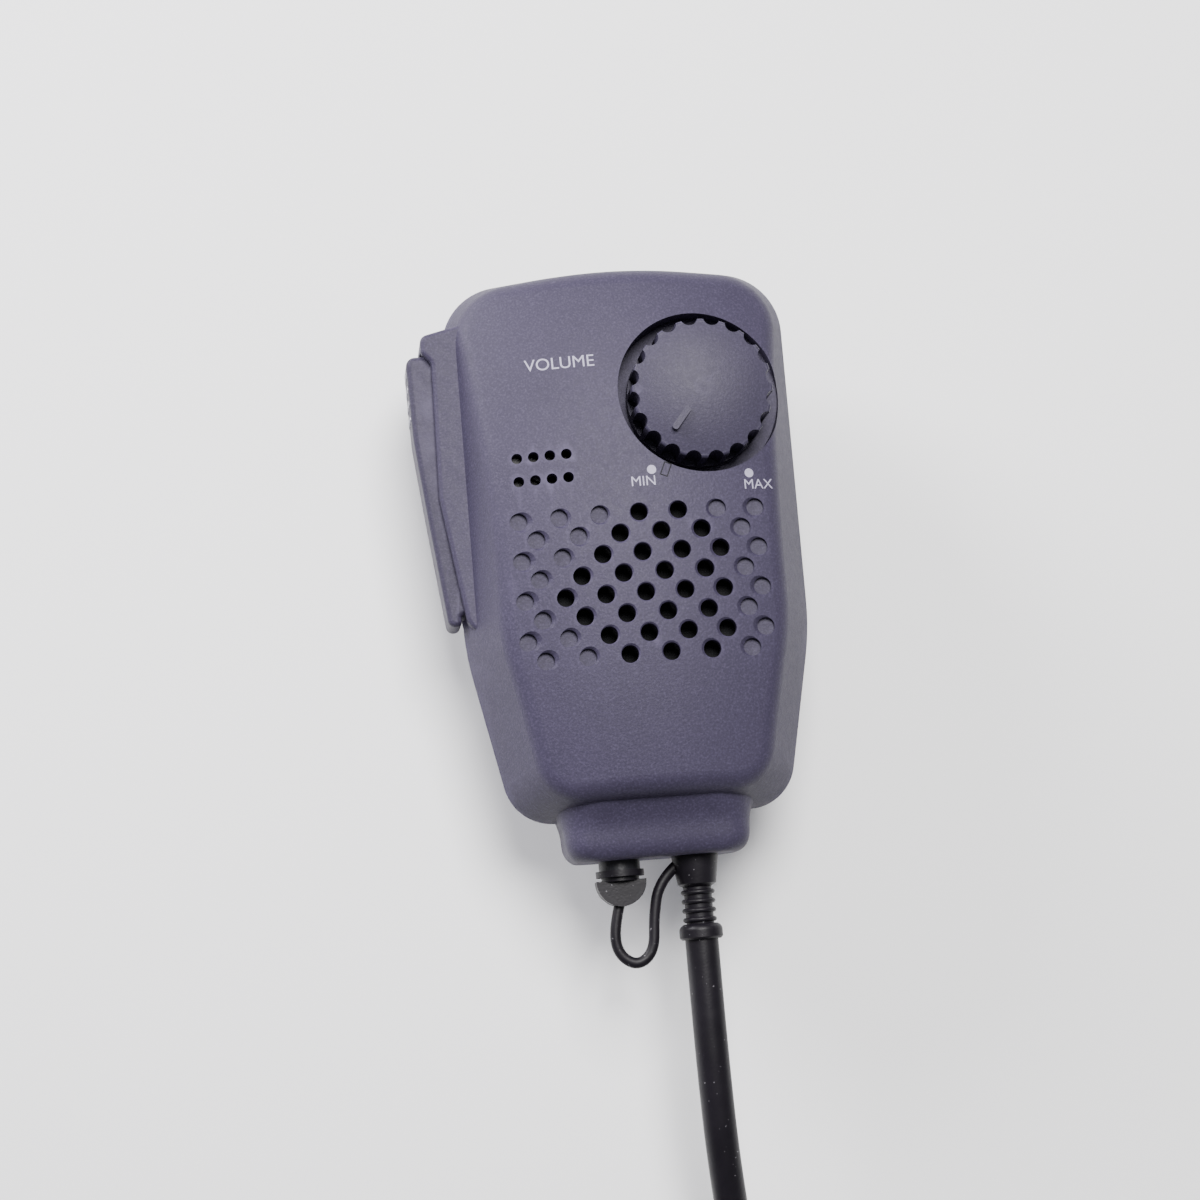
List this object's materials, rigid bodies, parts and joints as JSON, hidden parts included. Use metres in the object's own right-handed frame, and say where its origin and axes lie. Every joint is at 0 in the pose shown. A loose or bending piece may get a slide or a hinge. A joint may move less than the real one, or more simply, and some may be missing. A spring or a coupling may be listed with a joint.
{
  "type": "hand microphone",
  "caption": "Hand-held speaker microphone: tapered housing with a holed speaker front, recessed ribbed volume knob, side talk lever, capped socket, coiled plug cable and swivelling belt clip.",
  "frame": {"origin": "on the belt clip's flat rest face, under the middle of the housing; the microphone lies on its back with z = 0 on the table", "axes": "+X towards the volume knob's side, +Y towards the head, away from the cable, +Z out of the speaker front"},
  "size_m": [0.0753, 0.2582, 0.0358],
  "materials": {
    "housing_plastic": "fine moulded grain, violet charcoal",
    "knob_plastic": "fine moulded grain, slightly smoother than the housing",
    "lever_plastic": "fine moulded grain",
    "clip_plastic": "glass-filled black plastic",
    "black_plastic": "black plastic",
    "white_plastic": "natural acetal",
    "rubber": "soft satin rubber with a little dust",
    "cord_jacket": "satin black cable jacket",
    "plug_rubber": "moulded satin black",
    "tie_band": "woven hook-and-loop band",
    "silver_dots": "silvery grip dots",
    "dark_steel": "blackened screw steel",
    "steel": "zinc-plated steel",
    "aluminium_can": "drawn aluminium can",
    "brass": "turned brass",
    "plated_pin": "nickel-plated pin",
    "magnet": "plated magnet",
    "paper_cone": "doped paper cone",
    "cloth": "black acoustic cloth",
    "board": "green solder mask",
    "chip": "black chip packages"
  },
  "bodies": {
    "housing": {"front_shell": "housing_plastic", "rear_shell": "housing_plastic", "shell_screws": "dark_steel", "board_screws": "steel", "speaker_frame": "steel", "speaker_magnet": "magnet", "speaker_cone": "paper_cone", "speaker_cloth": "cloth", "mic_boot": "rubber", "mic_capsule": "aluminium_can", "potentiometer_can": "steel", "potentiometer_bushing": "brass", "circuit_board": "board", "board_chips": "chip", "lever_pin": "steel", "talk_switch": "chip", "lever_spring": "steel", "spring_seat": "housing_plastic", "earphone_socket": "black_plastic", "cap_strap": "rubber", "strain_relief": "rubber", "cable_end": "cord_jacket", "swivel_washer": "white_plastic", "swivel_screw": "dark_steel", "cord_lead": "cord_jacket", "cord_coil": "cord_jacket", "cord_tail": "cord_jacket", "cord_tie": "tie_band", "plug_body": "plug_rubber", "plug_relief": "plug_rubber", "plug_pin_large": "plated_pin", "plug_pin_small": "plated_pin"},
    "volume_knob": {"volume_knob": "knob_plastic", "volume_shaft": "steel"},
    "talk_lever": {"talk_lever": "lever_plastic", "lever_dots": "silver_dots"},
    "switch_plunger": {"switch_plunger": "white_plastic"},
    "socket_cap": {"socket_cap": "rubber"},
    "clip_back": {"clip_back": "clip_plastic", "clip_pin": "steel", "clip_spring": "steel"},
    "clip_jaw": {"clip_jaw": "clip_plastic"}
  },
  "joints": [
    {"name": "volume_turn", "type": "hinge", "parent": "housing", "child": "volume_knob", "pos_m": [0.01065, 0.02275, 0.03], "axis": [0, 0, -1], "range_deg": [0, 295]},
    {"name": "talk_press", "type": "hinge", "parent": "housing", "child": "talk_lever", "pos_m": [-0.0223, -0.0035, 0.01895], "axis": [0, 0, -1], "range_deg": [0, 2.4], "stiffness_Nm_per_rad": 1, "springref_deg": -2.29, "deforming": ["lever_spring"]},
    {"name": "switch_travel", "type": "slide", "parent": "housing", "child": "switch_plunger", "axis": [1, 0, 0], "range_m": [0, 0.00075]},
    {"name": "cap_pull", "type": "slide", "parent": "housing", "child": "socket_cap", "axis": [0, -1, 0], "range_m": [0, 0.006], "deforming": ["cap_strap"]},
    {"name": "clip_swivel", "type": "hinge", "parent": "housing", "child": "clip_back", "pos_m": [0, 0.002, 0.0085], "axis": [0, 0, 1], "continuous": true},
    {"name": "clip_open", "type": "hinge", "parent": "clip_back", "child": "clip_jaw", "pos_m": [0, 0.014, 0.0041], "axis": [1, 0, 0], "range_deg": [0, 20], "stiffness_Nm_per_rad": 0.6, "springref_deg": -20.05, "deforming": ["clip_spring"]}
  ],
  "couplings": [
    {"joint": "switch_travel", "follows": "talk_press", "m_per_rad": 0.0175}
  ]
}
